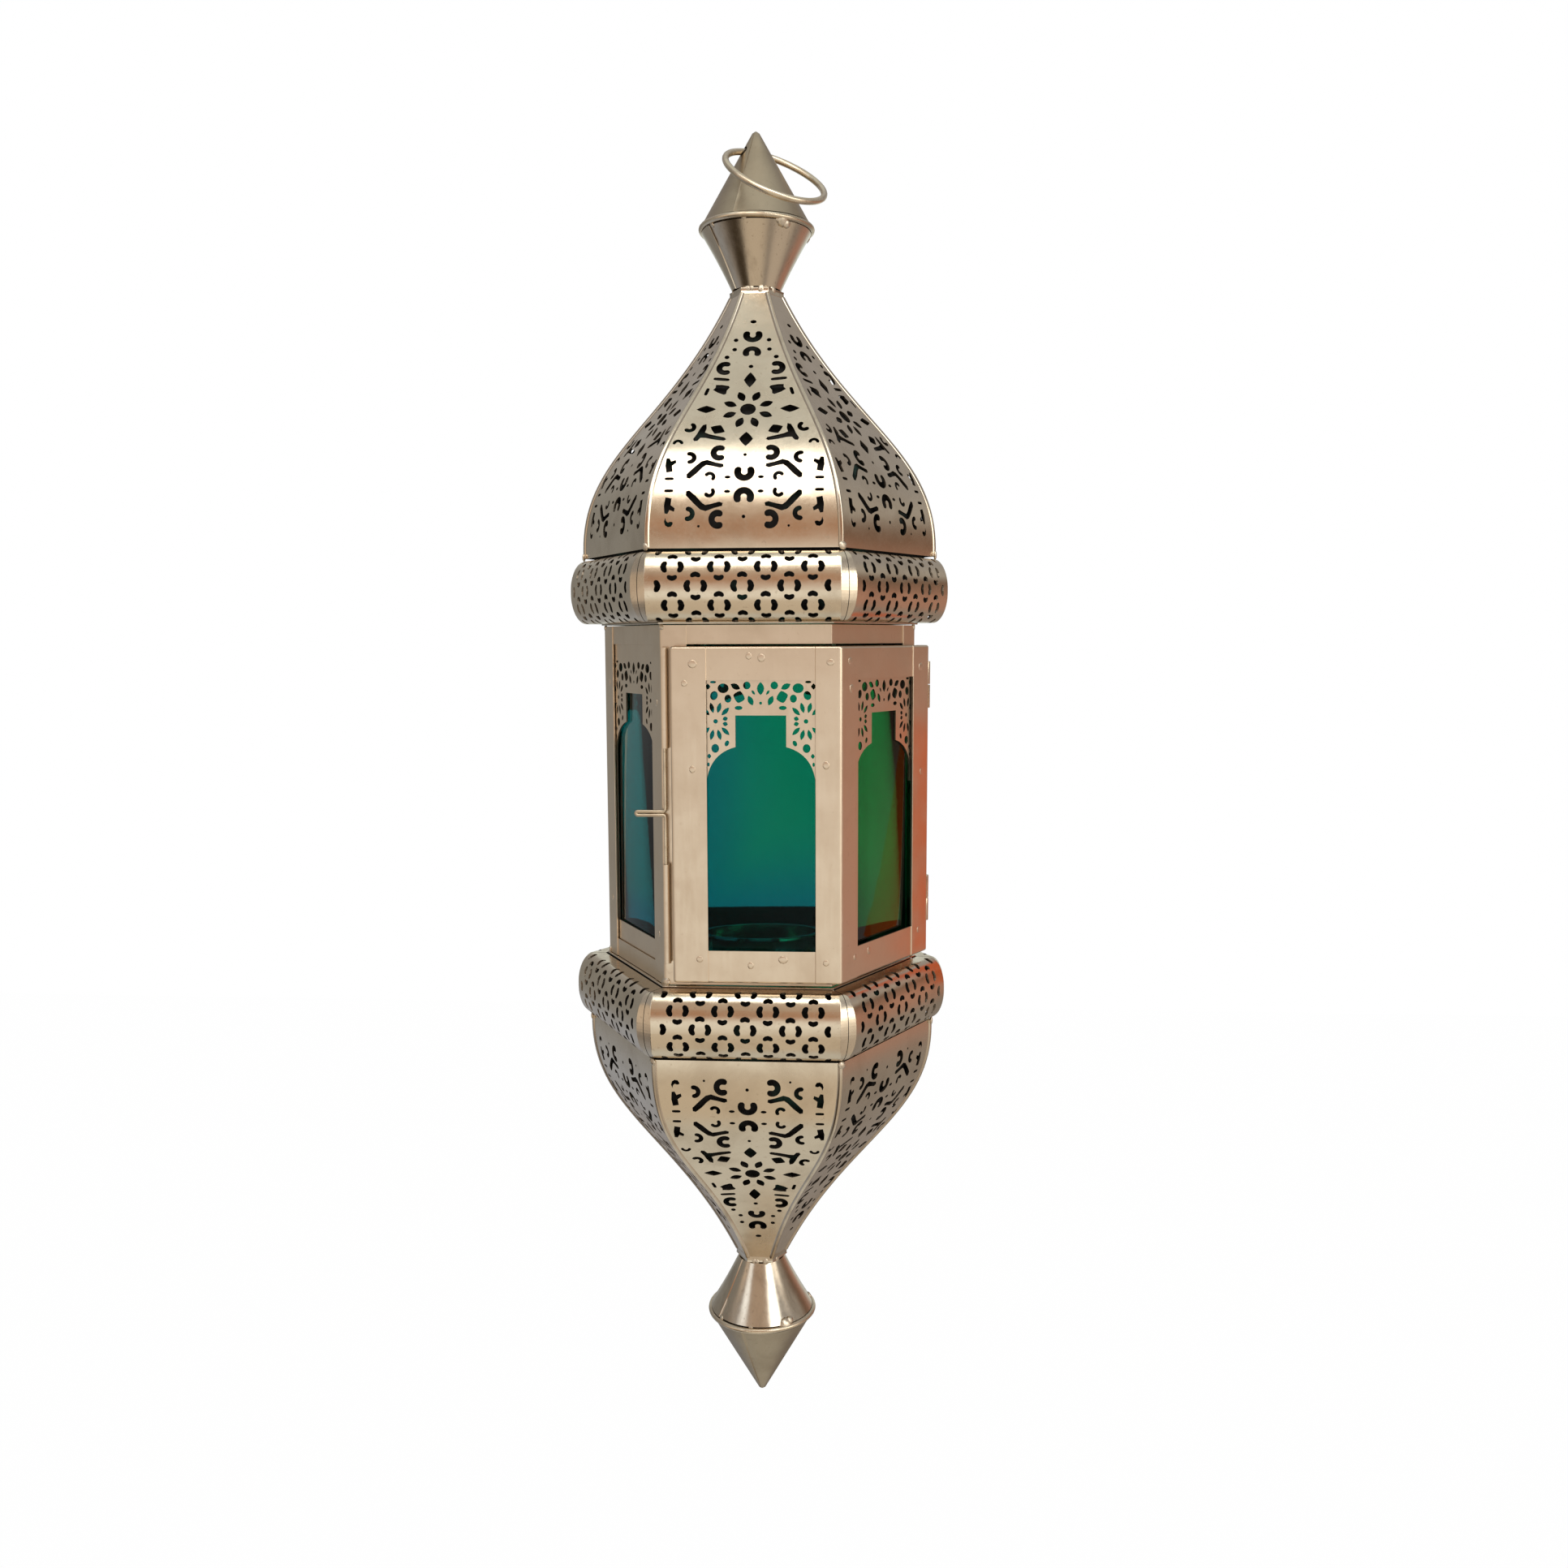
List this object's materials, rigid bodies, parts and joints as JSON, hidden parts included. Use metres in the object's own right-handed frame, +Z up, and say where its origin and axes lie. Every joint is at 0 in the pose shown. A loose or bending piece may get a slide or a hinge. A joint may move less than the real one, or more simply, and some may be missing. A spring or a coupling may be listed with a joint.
{
  "type": "candle lantern",
  "caption": "Hanging six-sided metal candle lantern with a pierced dome and bowl, coloured glass, a hinged two-face door with a wire latch, and a swinging ring.",
  "frame": {"origin": "on the lantern's axis at the two holes of the top cone, where the hanging ring passes through and holds it up", "axes": "+Z up along the lantern, -Y out of the front face, +X to the right seen from the front"},
  "size_m": [0.1528, 0.1324, 0.508],
  "materials": {
    "pierced_sheet": "thin pierced sheet with a satin champagne plating",
    "frame_sheet": "flat sheet with a satin champagne plating",
    "wire": "plated drawn wire",
    "cup_sheet": "plain pressed cup",
    "blue_glass": "clear turquoise glass",
    "green_glass": "clear green glass"
  },
  "bodies": {
    "lantern": {"finial_top_cone": "pierced_sheet", "finial_top_funnel": "pierced_sheet", "finial_bottom_cone": "pierced_sheet", "finial_bottom_funnel": "pierced_sheet", "dome_ribs": "pierced_sheet", "bowl_ribs": "pierced_sheet", "top_deck": "pierced_sheet", "floor_plate": "pierced_sheet", "dome_panel_front": "pierced_sheet", "dome_panel_right": "pierced_sheet", "dome_panel_back_right": "pierced_sheet", "dome_panel_back": "pierced_sheet", "dome_panel_back_left": "pierced_sheet", "dome_panel_left": "pierced_sheet", "bowl_panel_front": "pierced_sheet", "bowl_panel_right": "pierced_sheet", "bowl_panel_back_right": "pierced_sheet", "bowl_panel_back": "pierced_sheet", "bowl_panel_back_left": "pierced_sheet", "bowl_panel_left": "pierced_sheet", "upper_ring_front": "pierced_sheet", "upper_ring_right": "pierced_sheet", "upper_ring_back_right": "pierced_sheet", "upper_ring_back": "pierced_sheet", "upper_ring_back_left": "pierced_sheet", "upper_ring_left": "pierced_sheet", "lower_ring_front": "pierced_sheet", "lower_ring_right": "pierced_sheet", "lower_ring_back_right": "pierced_sheet", "lower_ring_back": "pierced_sheet", "lower_ring_back_left": "pierced_sheet", "lower_ring_left": "pierced_sheet", "hinge_leaf_body_upper": "pierced_sheet", "hinge_leaf_body_lower": "pierced_sheet", "latch_sleeve_upper": "pierced_sheet", "latch_sleeve_lower": "pierced_sheet", "finial_top_rim": "wire", "finial_bottom_rim": "wire", "hinge_pin": "wire", "body_cage": "frame_sheet", "window_panel_back_right": "frame_sheet", "window_panel_back": "frame_sheet", "window_panel_back_left": "frame_sheet", "window_panel_left": "frame_sheet", "window_glass_left": "blue_glass", "window_glass_back_left": "blue_glass", "window_glass_back": "blue_glass", "window_glass_back_right": "green_glass", "candle_cup": "cup_sheet"},
    "door": {"door_frame": "frame_sheet", "door_fret_front": "frame_sheet", "door_fret_right": "frame_sheet", "door_glass_front": "blue_glass", "door_glass_right": "green_glass", "hinge_leaf_door_upper": "pierced_sheet", "hinge_leaf_door_lower": "pierced_sheet"},
    "latch": {"latch_wire": "wire"},
    "ring": {"hanging_ring": "wire"}
  },
  "joints": [
    {"name": "door_hinge", "type": "hinge", "parent": "lantern", "child": "door", "pos_m": [0.06636, 0.00094, -0.2455], "axis": [0, 0, 1], "range_deg": [0, 115]},
    {"name": "latch_turn", "type": "hinge", "parent": "lantern", "child": "latch", "pos_m": [-0.0295, -0.0555, -0.2475], "axis": [0, 0, 1], "range_deg": [-20, 108]},
    {"name": "ring_swing", "type": "hinge", "parent": "lantern", "child": "ring", "pos_m": [0, 0, 0], "axis": [-0.8192, -0.5736, 0], "range_deg": [0, 100]}
  ]
}
